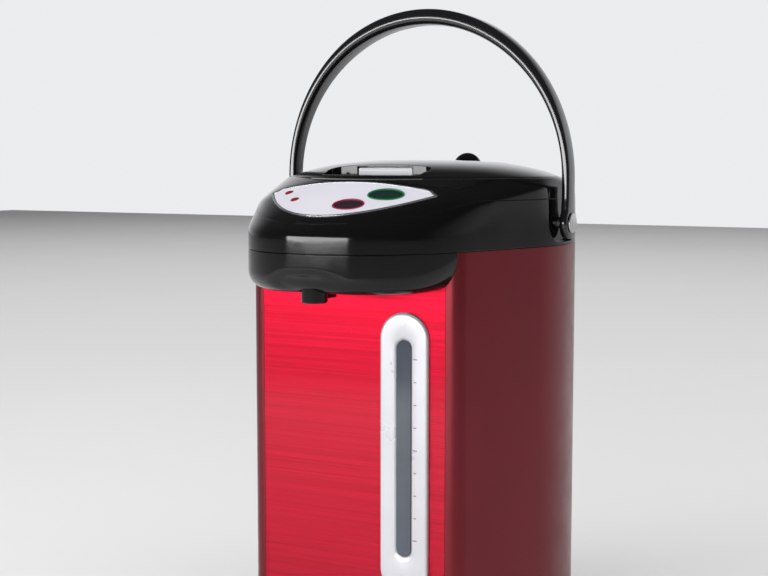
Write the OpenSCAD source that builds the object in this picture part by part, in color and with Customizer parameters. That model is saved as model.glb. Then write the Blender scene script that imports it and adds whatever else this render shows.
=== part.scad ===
// Electric hot-water airpot with a carrying bail, a hinged lid, an overhanging
// dispensing head, a water gauge and a swivel base.
// The origin is on the pot's vertical axis at the height of the surface it stands on.
// The front faces -Y.

/* [Body] */
// Radius of the round rear half of the body
body_r = 108; // [107:0.5:109]
// Half width of the front, its rounded corners included
front_half_w = 81; // [80:0.5:82]
// Distance from the pot's axis to the front panel
front_y = 108.6; // [108:0.1:109.5]
// Radius of the two front corners
corner_r = 12; // [11.5:0.1:12.5]
// Half width of the flat front panel
panel_half_w = 68.8; // [68:0.1:69]
// Thickness of the sheet-metal skin
skin_t = 1; // [0.8:0.1:1.1]

/* [Heights] */
// Lower edge of the skin, on top of the base ring
skin_z = 26; // [25.5:0.1:26.5]
// Seam between the skin and the head
seam_z = 290; // [289.8:0.1:290.2]
// Parting line between the collar and the top cover
parting_z = 322; // [321.5:0.1:322.5]
// Underside of the dispensing head
chin_z = 264.5; // [264:0.1:265]
// Highest point of the lid's dome
lid_top_z = 348; // [347.5:0.1:348.5]

/* [Head] */
// Radius of the nose's nearly straight sides, in plan
nose_side_r = 150; // [148:1:152]
// Angle at which the nose's sides turn into its round front
nose_turn = 35; // [34.5:0.1:35.5]
// Wall thickness of the head's mouldings
wall = 2.5; // [2.3:0.1:2.6]
// Slope of the control panel
panel_tilt = 23; // [22.8:0.1:23.2]
// Radius of the control panel's crown
panel_crown_r = 265; // [264:1:266]
// Radius of the lid
lid_r = 96; // [95.5:0.1:96.2]

/* [Bail] */
// Height of the bail's pivots
pivot_z = 305; // [304.8:0.1:305.2]
// Inner half width of the bail
bail_inner_w = 107; // [106.9:0.1:107.1]
// Outer half width of the bail
bail_outer_w = 112.5; // [112.3:0.1:112.6]
// Width of the bail's strap at the grip
grip_w = 20; // [18:1:21]
// Width of the bail's strap at the pivots
foot_w = 14; // [12:1:15]

/* [Water side] */
// Inner radius of the pot
pot_r = 80; // [79:0.5:80]
// Underside of the pot
pot_z = 44; // [43.8:0.1:44.2]

/* [Hidden] */
$fn = 96;
small = 0.01;
tall = 500;

// Plan outlines ------------------------------------------------------------
corner = [front_half_w - corner_r, -(front_y - corner_r)];
side_a = atan2(-corner[1], corner[0]) - acos((body_r - corner_r) / norm(corner));
side_n = [cos(side_a), -sin(side_a)];
side_end = corner + corner_r * side_n;
nose_c1 = side_end - nose_side_r * side_n;
nose_p1 = nose_c1 + nose_side_r * [cos(nose_turn), -sin(nose_turn)];
nose_front_r = nose_p1[0] / cos(nose_turn);
nose_c2 = [0, nose_p1[1] + nose_front_r * sin(nose_turn)];

function arc(c, r, a0, a1, n, first = 0) =
    [for (i = [first:n]) let (a = a0 + (a1 - a0) * i / n) c + r * [cos(a), sin(a)]];

function both_sides(half) = concat(
    half, [for (i = [len(half) - 2:-1:1]) [-half[i][0], half[i][1]]]);

function rear_half(d) = arc([0, 0], body_r - d, 90, -side_a, 24);

function body_outline(d) = both_sides(concat(
    rear_half(d), arc(corner, corner_r - d, -side_a, -90, 6)));

function head_outline(d) = both_sides(concat(
    rear_half(d),
    arc(nose_c1, nose_side_r - d, -side_a, -nose_turn, 4),
    arc(nose_c2, nose_front_r - d, -nose_turn, -90, 10, 1)));

module prism(points, z0, z1) {
    translate([0, 0, z0]) linear_extrude(z1 - z0) polygon(points);
}

module ring(r_out, r_in, z0, z1) {
    translate([0, 0, z0]) difference() {
        cylinder(r = r_out, h = z1 - z0);
        translate([0, 0, -1]) cylinder(r = r_in, h = z1 - z0 + 2);
    }
}

// A shape drawn in Y and Z, as thick as from x0 to x1
module across(x0, x1) {
    translate([x0, 0, 0]) rotate([90, 0, 90]) linear_extrude(x1 - x0) children();
}

// A shape drawn in X and Z, as thick as from y0 to y1
module along(y0, y1) {
    translate([0, y1, 0]) rotate([90, 0, 0]) linear_extrude(y1 - y0) children();
}

module rod_x(r, x0, x1, y, z) {
    translate([x0, y, z]) rotate([0, 90, 0]) cylinder(r = r, h = x1 - x0, $fn = 48);
}

// Straight lengths that run past each bend by their own radius
module hose(points, r) {
    last = len(points) - 2;
    for (i = [0:last]) {
        run = points[i + 1] - points[i];
        before = i > 0 ? r : 0;
        after = i < last ? r : 0;
        translate(points[i])
            rotate([0, acos(run[2] / norm(run)), atan2(run[1], run[0])])
                translate([0, 0, -before]) cylinder(r = r, h = norm(run) + before + after, $fn = 32);
    }
}

// Foot and base ------------------------------------------------------------
plate_z0 = 9;
plate_z1 = 12;
hub_r = 14;
fit = 0.05;
table_r = 86;

module foot_ring() {
    color("dimgray") ring(82, 72, 0, 3);
}

module turntable() {
    color("black") difference() {
        union() {
            translate([0, 0, 3]) cylinder(r = table_r, h = 4);
            translate([0, 0, 7]) cylinder(r = hub_r, h = 6);
        }
        translate([0, 0, 5]) cylinder(r = 2, h = 20, $fn = 32);
    }
}

module turntable_washer() {
    color("silver") ring(18, 3, 13, 14.5);
}

module turntable_screw() {
    color("silver") {
        translate([0, 0, 14.5]) cylinder(r = 5, h = 2.5, $fn = 32);
        translate([0, 0, 5]) cylinder(r = 2, h = 9.5, $fn = 32);
    }
}

module base_plate() {
    color("black") difference() {
        prism(body_outline(4), plate_z0, plate_z1);
        translate([0, 0, plate_z0 - 1]) cylinder(r = hub_r + fit, h = 5);
        for (p = base_screw_places)
            translate([p[0], p[1], plate_z0 - 1]) cylinder(r = 2, h = 5, $fn = 32);
    }
}

base_screw_places = [[90, 42], [-90, 42], [-55, -99], [55, -99]];

module base_ring() {
    color("black") difference() {
        union() {
            difference() {
                prism(body_outline(-1), 3, skin_z);
                prism(body_outline(4), 2, plate_z1);
                prism(body_outline(3), plate_z1 - small, skin_z + 1);
            }
            for (p = base_screw_places)
                translate([p[0], p[1], plate_z1]) cylinder(r = 7, h = 10, $fn = 32);
        }
        for (p = base_screw_places)
            translate([p[0], p[1], plate_z1 - 1]) cylinder(r = 2, h = 9, $fn = 32);
        inlet_opening(1);
    }
}

module base_screws() {
    color("silver") for (p = base_screw_places) translate([p[0], p[1], 0]) {
        translate([0, 0, 7.2]) cylinder(r = 4, h = 1.8, $fn = 32);
        translate([0, 0, 8.5]) cylinder(r = 1.95, h = 10, $fn = 32);
    }
}

// Skin, front panel and water gauge ----------------------------------------
gauge_x = 40;
gauge_z0 = 62;
gauge_z1 = 250;
gauge_w = 34.5;
window_z0 = 88.5;
window_z1 = 232;
window_w = 10.4;
gauge_proud = 3;
sheet_t = 1.2;
tube_y = -front_y + sheet_t + 5.6;

module slot_shape(width, z0, z1) {
    translate([gauge_x - width / 2, z0 + width / 2]) square([width, z1 - z0 - width]);
    for (z = [z0 + width / 2, z1 - width / 2])
        translate([gauge_x, z]) circle(d = width, $fn = 64);
}

module side_skin() {
    color([0.36, 0.13, 0.15]) difference() {
        prism(body_outline(0), skin_z, seam_z);
        prism(body_outline(skin_t), skin_z - 1, seam_z + 1);
        translate([-69, -front_y - 1, skin_z - 1]) cube([138, 5, tall]);
        inlet_opening(0.1);
    }
}

module front_panel() {
    color([0.75, 0.05, 0.1]) difference() {
        translate([-panel_half_w, -front_y, skin_z])
            cube([2 * panel_half_w, sheet_t, seam_z - 20 - skin_z]);
        along(-front_y - 1, -front_y + 3) slot_shape(window_w + 0.6, window_z0, window_z1);
    }
}

module gauge_bezel() {
    color("gainsboro") difference() {
        along(-front_y - gauge_proud, -front_y) slot_shape(gauge_w, gauge_z0, gauge_z1);
        along(-front_y - gauge_proud - 1, -front_y + 1)
            slot_shape(window_w + 0.2, window_z0, window_z1);
    }
}

module gauge_window() {
    color([0.15, 0.2, 0.28]) along(-front_y - 2.4, -front_y - 0.2)
        slot_shape(window_w, window_z0 + 0.1, window_z1 - 0.1);
}

module sight_tube() {
    color("lightblue") translate([gauge_x, tube_y, 0]) ring(5, 3.6, 70, 256);
}

// Head ---------------------------------------------------------------------
nose_wall_z = 304;
shoulder_z = 320;
rim_r = 98.5;
rim_z = 336;
panel_mid = [0, -131, 323];
panel_front = -25;
panel_back = 26.5;
panel_w = 61;
well_r = 97;

module at_panel() {
    translate(panel_mid) rotate([panel_tilt, 0, 0]) children();
}

// The control panel's outline: a straight back and a parabolic front
function leaf(d) = concat(
    [for (i = [-8:8]) let (t = i / 8) [(panel_w + d) * t,
        panel_front - d + (panel_back - 4 - panel_front) * t * t]],
    [[panel_w - 3 + d, panel_back + d], [-panel_w + 3 - d, panel_back + d]]);

// The crowned skin of the control panel between two depths
module crown(low, high) {
    translate([0, -60, -panel_crown_r]) rotate([-90, 0, 0]) difference() {
        cylinder(r = panel_crown_r + high, h = 120, $fn = 200);
        translate([0, 0, -1]) cylinder(r = panel_crown_r + low, h = 122, $fn = 200);
    }
}

module leaf_piece(d, low, high) {
    at_panel() intersection() {
        translate([0, 0, -20]) linear_extrude(40) polygon(leaf(d));
        crown(low, high);
    }
}

module head_solid(d) {
    hull() {
        prism(head_outline(d), seam_z - d * 2, nose_wall_z - d);
        intersection() {
            prism(head_outline(d), nose_wall_z - d, shoulder_z - d / 2);
            translate([-150, -90 + d, 0]) cube([300, 300, tall]);
        }
        translate([0, 0, 328]) cylinder(r = 105 - d, h = 1);
        translate([0, 0, rim_z - 1 - d]) cylinder(r = rim_r - d, h = 1);
        leaf_piece(5 - d, -1 - d, -d);
    }
}

module below_parting() {
    across(-150, 150) polygon([[120, 200], [120, parting_z], [-88, parting_z],
        [-125, 314], [-180, 306], [-180, 200]]);
}

// The recess that each foot of the bail turns in
recess_x = 103.5;
recess_half_w = 24;
recess_round = 14;
recess_low = 292;

module recess_shape(d) {
    inner = recess_half_w - recess_round;
    translate([-recess_half_w - d, recess_low + recess_round])
        square([2 * (recess_half_w + d), 60]);
    translate([-inner, recess_low - d]) square([2 * inner, 40]);
    for (s = [-1, 1]) translate([s * inner, recess_low + recess_round])
        circle(r = recess_round + d, $fn = 64);
}

module bail_recesses() {
    across(recess_x, 130) recess_shape(0);
    across(-130, -recess_x) recess_shape(0);
}

module recess_floors(z0, z1) {
    intersection() {
        prism(head_outline(0.2), z0, z1);
        for (s = [-1, 1]) translate([s * (recess_x - 1.25) - 1.25, -31, z0])
            cube([2.5, 62, z1 - z0]);
    }
}

module collar() {
    color([0.08, 0.08, 0.08]) difference() {
        union() {
            difference() {
                intersection() {
                    head_solid(0);
                    below_parting();
                }
                head_solid(wall);
            }
            recess_floors(seam_z, parting_z);
            for (s = [-1, 1])
                rod_x(12, min(s * recess_x, s * 106.7), max(s * recess_x, s * 106.7), 0, pivot_z);
        }
        difference() {
            bail_recesses();
            rod_x(12, -106.7, 106.7, 0, pivot_z);
        }
        rod_x(4, -120, 120, 0, pivot_z);
        translate([-150, -150, 200]) cube([300, 300, seam_z - 200]);
        prism(body_outline(skin_t), 200, seam_z + small);
    }
}

// Front and sides of the chin, seen from the front
module chin_shape(d) {
    r = 25 - d;
    for (s = [-1, 1]) translate([s * (front_half_w - 25), chin_z + 25]) circle(r = r, $fn = 64);
    translate([-front_half_w + 25, chin_z + d]) square([2 * (front_half_w - 25), 60]);
    translate([-front_half_w + d, chin_z + 25]) square([2 * (front_half_w - d), 60]);
}

module chin_solid(d) {
    intersection() {
        hull() {
            prism(head_outline(d), chin_z + 11, seam_z);
            prism(head_outline(8 + d), chin_z + d, seam_z);
        }
        along(-180, -front_y - 0.1 - d) chin_shape(d);
    }
}

spout_y = -156;
spout_r = 8.5;

module chin_cover() {
    color([0.08, 0.08, 0.08]) difference() {
        chin_solid(0);
        chin_solid(wall);
        translate([0, spout_y, chin_z - 5]) cylinder(r = spout_r, h = 20);
        translate([-6.5, spout_y, chin_z - 5]) cube([13, 18, 20]);
    }
}

lid_notch_w = 34;
notch_r = 102;
hinge_y = 93.5;
hinge_z = 329;

module top_cover() {
    color([0.08, 0.08, 0.08]) difference() {
        union() {
            difference() {
                head_solid(0);
                head_solid(wall);
                below_parting();
                cylinder(r = well_r, h = tall);
            }
            ring(well_r + 2, well_r, 297, rim_z - 1.5);
            recess_floors(parting_z, parting_z + 8);
        }
        bail_recesses();
        intersection() {
            translate([-lid_notch_w, 84, 290]) cube([2 * lid_notch_w, 30, 60]);
            cylinder(r = notch_r, h = tall);
        }
        leaf_piece(1, -0.9, 5);
        for (b = buttons) button_prism(b, 1.2, -9, 5);
        for (p = lens_places) at_panel() translate([p[0], p[1], -9])
            cylinder(r = 3, h = 12, $fn = 32);
    }
}

// Buttons: place on the panel, turn, half length and half width
buttons = [[31.5, 12, 14, 11, 7.4], [14, -7, 8, 9.6, 6.8]];
lens_places = [[-44, 16.5], [-31, 2]];
button_gap = 0.4;
stem_w = -9.8;

function oval(a, b) = [for (i = [0:31]) let (t = i * 11.25) [a * cos(t), b * sin(t)]];

function drop(x) = panel_crown_r - sqrt(panel_crown_r * panel_crown_r - x * x);

module button_prism(b, d, low, high) {
    at_panel() translate([b[0], b[1], low - drop(b[0])]) rotate(b[2])
        linear_extrude(high - low) polygon(oval(b[3] + d, b[4] + d));
}

module control_panel() {
    color([0.88, 0.87, 0.9]) difference() {
        leaf_piece(-0.3, -0.8, 0.3);
        for (b = buttons) button_prism(b, 1.2, -6, 5);
        for (p = lens_places) at_panel() translate([p[0], p[1], -9])
            cylinder(r = 3, h = 12, $fn = 32);
    }
}

module panel_trim() {
    color("silver") difference() {
        leaf_piece(0.9, -0.8, 0.5);
        leaf_piece(-0.2, -2, 3);
    }
}

module button_surrounds() {
    colours = ["seagreen", "crimson"];
    for (i = [0, 1]) color(colours[i]) difference() {
        button_prism(buttons[i], 1.1, -1.5, 0.8);
        button_prism(buttons[i], 0, -3, 2);
    }
}

module indicator_lenses() {
    color("red") for (p = lens_places) at_panel()
        translate([p[0], p[1], -4 - drop(p[0])]) cylinder(r = 2.9, h = 4.6, $fn = 32);
}

module button_cap(b) {
    button_prism(b, -button_gap, -4, 0.5);
    at_panel() translate([b[0], b[1], stem_w]) cylinder(r = 3, h = 6, $fn = 32);
}

module dispense_button() {
    color([0.15, 0.25, 0.2]) button_cap(buttons[0]);
}

module reboil_button() {
    color([0.25, 0.12, 0.18]) button_cap(buttons[1]);
}

board_w = -17;

module control_board() {
    color("darkgreen") at_panel() translate([-45, -14, board_w]) cube([90, 30, 1.6]);
}

module board_switches() {
    color("dimgray") at_panel() for (b = buttons) {
        translate([b[0] - 3, b[1] - 3, board_w + 1.6]) cube([6, 6, 3.2]);
        translate([b[0], b[1], board_w + 4.8]) cylinder(r = 1.7, h = 0.5, $fn = 32);
    }
}

module spout() {
    color([0.1, 0.1, 0.1]) difference() {
        union() {
            translate([0, spout_y, 258.7]) cylinder(r = spout_r - 0.1, h = 17);
            translate([-6.4, spout_y, 261]) cube([12.8, 17.8, 10]);
        }
        translate([0, spout_y, 250]) cylinder(r = 5, h = 40, $fn = 48);
    }
}

hose_z = 295.2;
hose_route = [[gauge_x, tube_y, 256.3], [gauge_x, tube_y, hose_z], [gauge_x, -130, hose_z],
    [0, -130, hose_z], [0, spout_y, hose_z], [0, spout_y, 276.2]];

module outlet_hose() {
    color("lightgray") difference() {
        hose(hose_route, 5);
        hose(hose_route, 3.5);
    }
}

// Bail ---------------------------------------------------------------------
spring_z = 335;
bail_in_h = 109;
bail_out_h = 120;

function half_oval(a, b) = [for (i = [0:48]) let (t = i * 3.75) [a * cos(t), spring_z + b * sin(t)]];

module bail() {
    color([0.1, 0.1, 0.1]) difference() {
        union() {
            intersection() {
                along(-grip_w, grip_w) difference() {
                    polygon(concat([[bail_outer_w, pivot_z]],
                        half_oval(bail_outer_w, bail_out_h), [[-bail_outer_w, pivot_z]]));
                    polygon(concat([[bail_inner_w, pivot_z - 1]],
                        half_oval(bail_inner_w, bail_in_h), [[-bail_inner_w, pivot_z - 1]]));
                }
                across(-150, 150) polygon([[-foot_w / 2, 290], [foot_w / 2, 290],
                    [foot_w / 2, 340], [grip_w / 2, 430], [grip_w / 2, 460],
                    [-grip_w / 2, 460], [-grip_w / 2, 430], [-foot_w / 2, 340]]);
            }
            for (s = [-1, 1])
                rod_x(11, min(s * bail_inner_w, s * bail_outer_w),
                    max(s * bail_inner_w, s * bail_outer_w), 0, pivot_z);
        }
        rod_x(4 + fit, -150, 150, 0, pivot_z);
    }
}

module bail_pins() {
    color("dimgray") for (s = [0, 1]) mirror([s, 0, 0]) {
        rod_x(4, 99.6, 112.8, 0, pivot_z);
        rod_x(7, 112.8, 114.3, 0, pivot_z);
    }
}

// Lid ----------------------------------------------------------------------
dome_drop = 11.5;
dome_power = 3.2;
dome_steps = 14;
finger_back = -62;
finger_r = 91.5;
finger_half_w = 39;
finger_z = 333;
lever_half_w = 21;
lever_h = 9.4;
vent_y = 72.5;
// How far the dome's rear edge is drawn in, so that it can swing back
lid_back_gap = 2.2;

function dome_z(r) = lid_top_z - dome_drop * pow(r / lid_r, dome_power);

function dome_profile(r_max, d) = [for (i = [0:dome_steps]) let (r = r_max * i / dome_steps)
    [r, dome_z(min(r + d / 2, lid_r)) - d]];

module dome(d, z0) {
    rotate_extrude() polygon(concat([[0, z0]], dome_profile(lid_r - d, d), [[lid_r - d, z0]]));
}

module finger_shape(d) {
    intersection() {
        circle(r = finger_r + d);
        translate([-finger_half_w - d, -100]) square([2 * (finger_half_w + d), 100 + finger_back + d]);
    }
}

module lid_shell() {
    color([0.1, 0.1, 0.1]) difference() {
        union() {
            difference() {
                dome(0, 326);
                dome(wall, 325);
            }
            intersection() {
                dome(0.5, 326);
                union() {
                    translate([0, 0, finger_z - 2]) linear_extrude(30) finger_shape(2);
                    for (x = [-25.5, 21.7]) translate([x, finger_back, finger_z - 2]) cube([3.8, 5, 9]);
                    translate([0, vent_y, 335.6]) cylinder(r = 13, h = 9);
                }
            }
        }
        translate([0, 0, finger_z]) linear_extrude(30) finger_shape(0);
        translate([-lever_half_w - 0.5, finger_back - 1, finger_z])
            cube([2 * lever_half_w + 1, 8, lever_h + 1.2]);
        translate([-4, finger_back, finger_z - 4]) cube([8, 8, 6]);
        rod_x(1.2 + fit, -lever_half_w - 3.1, lever_half_w + 3.1, lever_y, lever_z);
        translate([0, vent_y, 330]) cylinder(r = 8, h = 30, $fn = 48);
        translate([0, vent_y, 338]) cylinder(r = 11.1, h = 30);
        translate([-30, 86, 320]) cube([60, 20, 14.6]);
        translate([0, 0, 320]) difference() {
            cylinder(r = lid_r + 5, h = 40);
            translate([0, -lid_back_gap, -1]) cylinder(r = lid_r, h = 42);
        }
    }
}

module lid_tray() {
    color([0.15, 0.15, 0.15]) difference() {
        union() {
            ring(92, 10, 318, 321);
            ring(93, 90.5, 318, 325);
            translate([-20, 84, 319]) cube([40, 7, 9]);
            rod_x(5, -20, 20, hinge_y, hinge_z);
        }
        rod_x(2.5 + fit, -60, 60, hinge_y, hinge_z);
        for (a = [45:90:315]) rotate(a) translate([70, 0, 315]) cylinder(r = 1.6, h = 10, $fn = 32);
        translate([0, vent_y, 315]) cylinder(r = 8, h = 10, $fn = 48);
        translate([-12.5, -100, 321.1]) cube([25, 20, 3.8]);
    }
}

module lid_screws() {
    color("silver") for (a = [45:90:315]) rotate(a) translate([70, 0, 0]) {
        translate([0, 0, 316]) cylinder(r = 3.5, h = 2, $fn = 32);
        translate([0, 0, 317.5]) cylinder(r = 1.55, h = 8, $fn = 32);
    }
}

module lid_inner() {
    color("silver") difference() {
        union() {
            translate([0, 0, 301]) cylinder(r = 88, h = 1.5);
            ring(66, 64, 302, 317.9);
        }
        translate([0, 45, 300]) cylinder(r = 6, h = 5, $fn = 32);
    }
}

module lid_gasket() {
    color("whitesmoke") ring(87, 80.5, 296.6, 300.9);
}

module steam_baffle() {
    color("gray") translate([0, 45, 0]) difference() {
        translate([0, 0, 302.6]) cylinder(r = 12, h = 12, $fn = 48);
        translate([0, 0, 302]) cylinder(r = 10, h = 11, $fn = 48);
        translate([0, 0, 303]) cylinder(r = 4, h = 20, $fn = 32);
    }
}

module vent_cap() {
    color([0.2, 0.2, 0.2]) translate([0, vent_y, 342.3]) difference() {
        union() {
            rotate_extrude() intersection() {
                circle(r = 11);
                square([12, 12]);
            }
            translate([0, 0, -4.2]) cylinder(r = 11, h = 4.2);
        }
        translate([0, 0, -5]) cylinder(r = 7, h = 9, $fn = 48);
    }
}

lever_y = finger_back + 2.6;
lever_z = 338.6;

module latch_lever() {
    color("gray") {
        translate([-lever_half_w, finger_back + 0.2, finger_z + 0.4])
            cube([2 * lever_half_w, 2, lever_h]);
        rod_x(1.2, -lever_half_w - 3, lever_half_w + 3, lever_y, lever_z);
        translate([-3, finger_back + 2.1, 325]) cube([6, 2, 14]);
    }
}

module latch_bolt() {
    color("dimgray") {
        translate([-12, -94.5, 321.3]) cube([24, 34.4, 3.2]);
        translate([-5, -60.2, 321.3]) cube([10, 5, 2.4]);
        translate([-5, -57.4, 323.5]) cube([10, 2.2, 4]);
    }
}

module lid_hinge_pin() {
    color("silver") rod_x(2.5, -28, 28, hinge_y, hinge_z);
}

module hinge_block() {
    color("dimgray") difference() {
        union() {
            for (x = [-28, 22]) rod_x(5, x, x + 6, hinge_y, hinge_z);
            for (x = [-28, 22]) translate([x, hinge_y - 2, 318]) cube([6, 5, 11]);
            translate([-28, hinge_y, 316]) cube([56, 3, 5]);
        }
        rod_x(2.5, -60, 60, hinge_y, hinge_z);
    }
}

// Water side ---------------------------------------------------------------
pump = [-30, -35];

module inner_pot() {
    color("silver") difference() {
        union() {
            translate([0, 0, pot_z]) cylinder(r = pot_r + 1, h = 296 - pot_z);
            translate([0, 0, 294.6]) cylinder(r = 92, h = 1.4);
        }
        translate([0, 0, pot_z + 1]) cylinder(r = pot_r, h = 300);
        translate([pump[0], pump[1], pot_z - 1]) cylinder(r = 4, h = 5, $fn = 32);
    }
}

module pot_ring() {
    color("black") ring(100, 82, 289.5, 294.5);
}

module insulation() {
    color("khaki") ring(94, 84.5, 66, 286);
}

module band_heater() {
    color("darkgoldenrod") difference() {
        ring(84, 81.4, 72, 112);
        translate([-3, 70, 60]) cube([6, 30, 60]);
    }
}

module heater_plate() {
    color("gray") difference() {
        translate([0, 0, 38]) cylinder(r = 60, h = 5.8);
        translate([pump[0], pump[1], 30]) cylinder(r = 8, h = 20, $fn = 32);
    }
}

module thermostat() {
    color("whitesmoke") translate([38, 18, 0]) {
        translate([0, 0, 31]) cylinder(r = 8, h = 4, $fn = 32);
        translate([0, 0, 35]) cylinder(r = 10, h = 2.9, $fn = 32);
    }
}

module thermal_fuse() {
    color("white") rod_x(2.2, 5, 17, 38, 35.6);
}

module pot_supports() {
    color("silver") for (a = [30, 150, 270]) rotate(a) translate([72, 0, plate_z1])
        cylinder(r = 4, h = pot_z - 0.1 - plate_z1, $fn = 32);
}

module pump_motor() {
    color("dimgray") translate([pump[0], pump[1], 0]) difference() {
        translate([0, 0, 12.3]) cylinder(r = 14, h = 14.3);
        translate([0, 0, 15]) cylinder(r = 2 + fit, h = 20, $fn = 32);
    }
}

module pump_housing() {
    color("ivory") translate([pump[0], pump[1], 0]) difference() {
        translate([0, 0, 26.8]) cylinder(r = 20, h = 10.7);
        translate([0, 0, 28.6]) cylinder(r = 16, h = 6.8);
        translate([0, 0, 20]) cylinder(r = 2 + fit, h = 10, $fn = 32);
        translate([0, 0, 30]) cylinder(r = 4, h = 10, $fn = 32);
        translate([0, 0, 32]) rotate([90, 0, 0]) cylinder(r = 2.6, h = 30, $fn = 32);
    }
}

module impeller() {
    color("white") translate([pump[0], pump[1], 0]) {
        translate([0, 0, 16]) cylinder(r = 2, h = 14, $fn = 32);
        translate([0, 0, 29.2]) cylinder(r = 14, h = 1.2);
        for (a = [0:60:300]) rotate(a) translate([4, -0.6, 30.4]) cube([9.5, 1.2, 4.2]);
    }
}

module suction_pipe() {
    color("lightgray") translate([pump[0], pump[1], 0]) ring(6, 4, 37.6, pot_z - 0.1);
}

supply_route = [[pump[0], pump[1] - 20.2, 32], [pump[0], -90, 32], [gauge_x, -90, 32],
    [gauge_x, -90, 50], [gauge_x, tube_y, 50], [gauge_x, tube_y, 69.8]];

module delivery_hose() {
    color("lightgray") difference() {
        hose(supply_route, 4);
        hose(supply_route, 2.8);
    }
}

// Electrics ----------------------------------------------------------------
module power_board() {
    color("darkgreen") translate([-62, -100, 60]) cube([60, 1.6, 110]);
}

module board_parts() {
    color("dimgray") {
        translate([-55, -106, 70]) cube([22, 6, 20]);
        translate([-28, -105.5, 74]) cube([14, 5.5, 10]);
        for (z = [105, 120, 135]) translate([-45, -100, z]) rotate([90, 0, 0])
            cylinder(r = 5, h = 6, $fn = 32);
        translate([-28, -104.5, 110]) cube([18, 4.5, 24]);
    }
}

inlet_half_w = 20;
inlet_z0 = 31;
inlet_z1 = 57;

module inlet_opening(gap) {
    translate([-inlet_half_w - gap, 80, inlet_z0 - gap])
        cube([2 * (inlet_half_w + gap), 60, inlet_z1 - inlet_z0 + 2 * gap]);
}

module inlet_socket() {
    color([0.12, 0.12, 0.12]) difference() {
        translate([-inlet_half_w, 88, inlet_z0])
            cube([2 * inlet_half_w, 21.5, inlet_z1 - inlet_z0]);
        translate([-inlet_half_w + 3, 92, inlet_z0 + 3])
            cube([2 * inlet_half_w - 6, 30, inlet_z1 - inlet_z0 - 6]);
    }
}

module inlet_pins() {
    color("silver") for (x = [-10, 10]) translate([x, 92, 44]) rotate([-90, 0, 0])
        cylinder(r = 2.4, h = 9, $fn = 32);
}

// Placement ----------------------------------------------------------------
foot_ring();
turntable();
turntable_washer();
turntable_screw();
base_plate();
base_ring();
base_screws();
side_skin();
front_panel();
gauge_bezel();
gauge_window();
sight_tube();
collar();
chin_cover();
top_cover();
control_panel();
panel_trim();
button_surrounds();
indicator_lenses();
dispense_button();
reboil_button();
control_board();
board_switches();
spout();
outlet_hose();
bail();
bail_pins();
lid_shell();
lid_tray();
lid_inner();
lid_gasket();
steam_baffle();
lid_screws();
vent_cap();
latch_lever();
latch_bolt();
lid_hinge_pin();
hinge_block();
inner_pot();
pot_ring();
insulation();
band_heater();
heater_plate();
thermostat();
thermal_fuse();
pot_supports();
pump_motor();
pump_housing();
impeller();
suction_pipe();
delivery_hose();
power_board();
board_parts();
inlet_socket();
inlet_pins();
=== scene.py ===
import math
import bmesh
import bpy
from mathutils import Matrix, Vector
from mathutils.bvhtree import BVHTree


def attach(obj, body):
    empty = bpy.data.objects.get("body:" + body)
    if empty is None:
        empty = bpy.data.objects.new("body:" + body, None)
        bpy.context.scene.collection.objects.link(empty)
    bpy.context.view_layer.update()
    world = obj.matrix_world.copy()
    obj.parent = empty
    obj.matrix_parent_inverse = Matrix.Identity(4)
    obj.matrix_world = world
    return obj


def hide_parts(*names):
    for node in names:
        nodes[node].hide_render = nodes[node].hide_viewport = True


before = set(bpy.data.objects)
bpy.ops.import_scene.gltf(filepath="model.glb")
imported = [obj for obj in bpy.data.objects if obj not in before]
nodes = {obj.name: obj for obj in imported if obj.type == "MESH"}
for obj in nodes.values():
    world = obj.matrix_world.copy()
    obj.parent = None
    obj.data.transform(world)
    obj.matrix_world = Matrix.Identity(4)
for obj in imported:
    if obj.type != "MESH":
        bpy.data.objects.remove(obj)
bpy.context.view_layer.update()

# Driving dimensions, in millimetres -----------------------------------------
MM = 0.001
BODY_R = 108
FRONT_HALF_W = 81
FRONT_Y = 108.6
CORNER_R = 12
SKIN_T = 1
SKIN_Z = 26
SEAM_Z = 290
PARTING_FALLS = ((-88, 322), (-125, 314), (-180, 306))
CHIN_Z = 264.5
CHIN_SIDE_R = 25
CHIN_EDGE_R = 11
LID_R = 96
LID_TOP_Z = 348
LID_LOW_Z = 326
LID_BACK_GAP = 2.2
RECESS_FLOOR_Z = 333
LEVER_HALF_W = 21
LEVER_HALF_H = 4.7
LEVER_Z = 338.1
LEVER_Y = -61.8
VENT_Y = 72.5
VENT_R = 11
WELL_R = 97
RIM_R = 98.5
RIM_Z = 336
WALL = 2.5
NOSE_SIDE_R = 150
NOSE_TURN = math.radians(35)
PANEL_MID = Vector((0, -131, 323))
PANEL_TILT = math.radians(23)
PANEL_CROWN_R = 265
PANEL_HALF_W = 61
PANEL_FRONT = -25
PANEL_BACK = 26.5
PIVOT_Z = 305
NOTCH_HALF_W = 34
NOTCH_R = 102
SPOUT_Y = -156
SPOUT_R = 8.4
GAUGE_X = 40
GAUGE_MARKS = 9
JOINT_GAP = 0.05
ABOVE_ALL_Z = 360

side_corner = Vector((FRONT_HALF_W - CORNER_R, -(FRONT_Y - CORNER_R)))
SIDE_A = (math.atan2(-side_corner.y, side_corner.x)
          - math.acos((BODY_R - CORNER_R) / side_corner.length))
side_n = Vector((math.cos(SIDE_A), -math.sin(SIDE_A)))
side_end = side_corner + CORNER_R * side_n
nose_c1 = side_end - NOSE_SIDE_R * side_n
nose_p1 = nose_c1 + NOSE_SIDE_R * Vector((math.cos(NOSE_TURN), -math.sin(NOSE_TURN)))
NOSE_FRONT_R = nose_p1.x / math.cos(NOSE_TURN)
nose_c2 = Vector((0, nose_p1.y + NOSE_FRONT_R * math.sin(NOSE_TURN)))


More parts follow.
